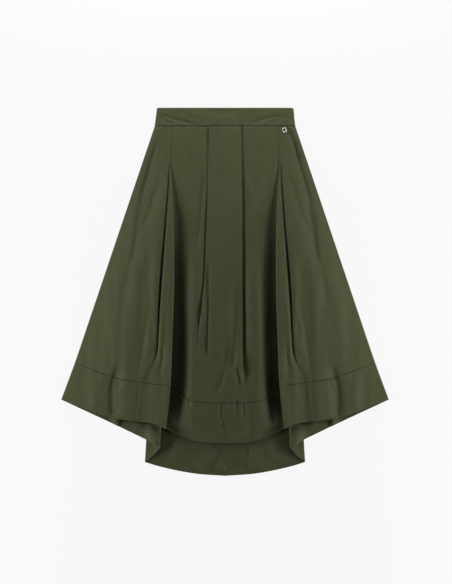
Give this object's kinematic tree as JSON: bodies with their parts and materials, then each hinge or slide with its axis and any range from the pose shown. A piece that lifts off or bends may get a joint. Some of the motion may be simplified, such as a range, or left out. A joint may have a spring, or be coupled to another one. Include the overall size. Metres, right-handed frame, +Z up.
{
  "type": "a-line skirt",
  "caption": "Flared midi skirt with a longer back, a flat waistband, a centre box pleat and deep hem bands, laid flat on its back.",
  "frame": {"origin": "centre of the bounding box's underside, on the surface that the skirt lies on", "axes": "+Y towards the waist, +Z up through the front, +X towards the wearer's left side"},
  "size_m": [0.819, 0.9194, 0.0427],
  "materials": {
    "poplin": "olive green cotton poplin with a slight sheen",
    "pale_metal": "pale, satin",
    "zip_nylon": "olive nylon coil and tape",
    "olive_lacquer": "olive lacquer"
  },
  "bodies": {
    "skirt": {"front_panel": "poplin", "front_hem_band": "poplin", "back_panel": "poplin", "back_hem_band": "poplin", "waistband_front": "poplin", "waistband_back": "poplin", "metal_plate": "pale_metal", "zip_strip": "zip_nylon", "zip_slider": "olive_lacquer"},
    "pull_tab": {"zip_pull": "olive_lacquer"}
  },
  "joints": [
    {"name": "pull_swing", "type": "hinge", "parent": "skirt", "child": "pull_tab", "pos_m": [0.17128, 0.45575, 0.0039], "axis": [0, 0, 1], "range_deg": [0, 165]}
  ]
}
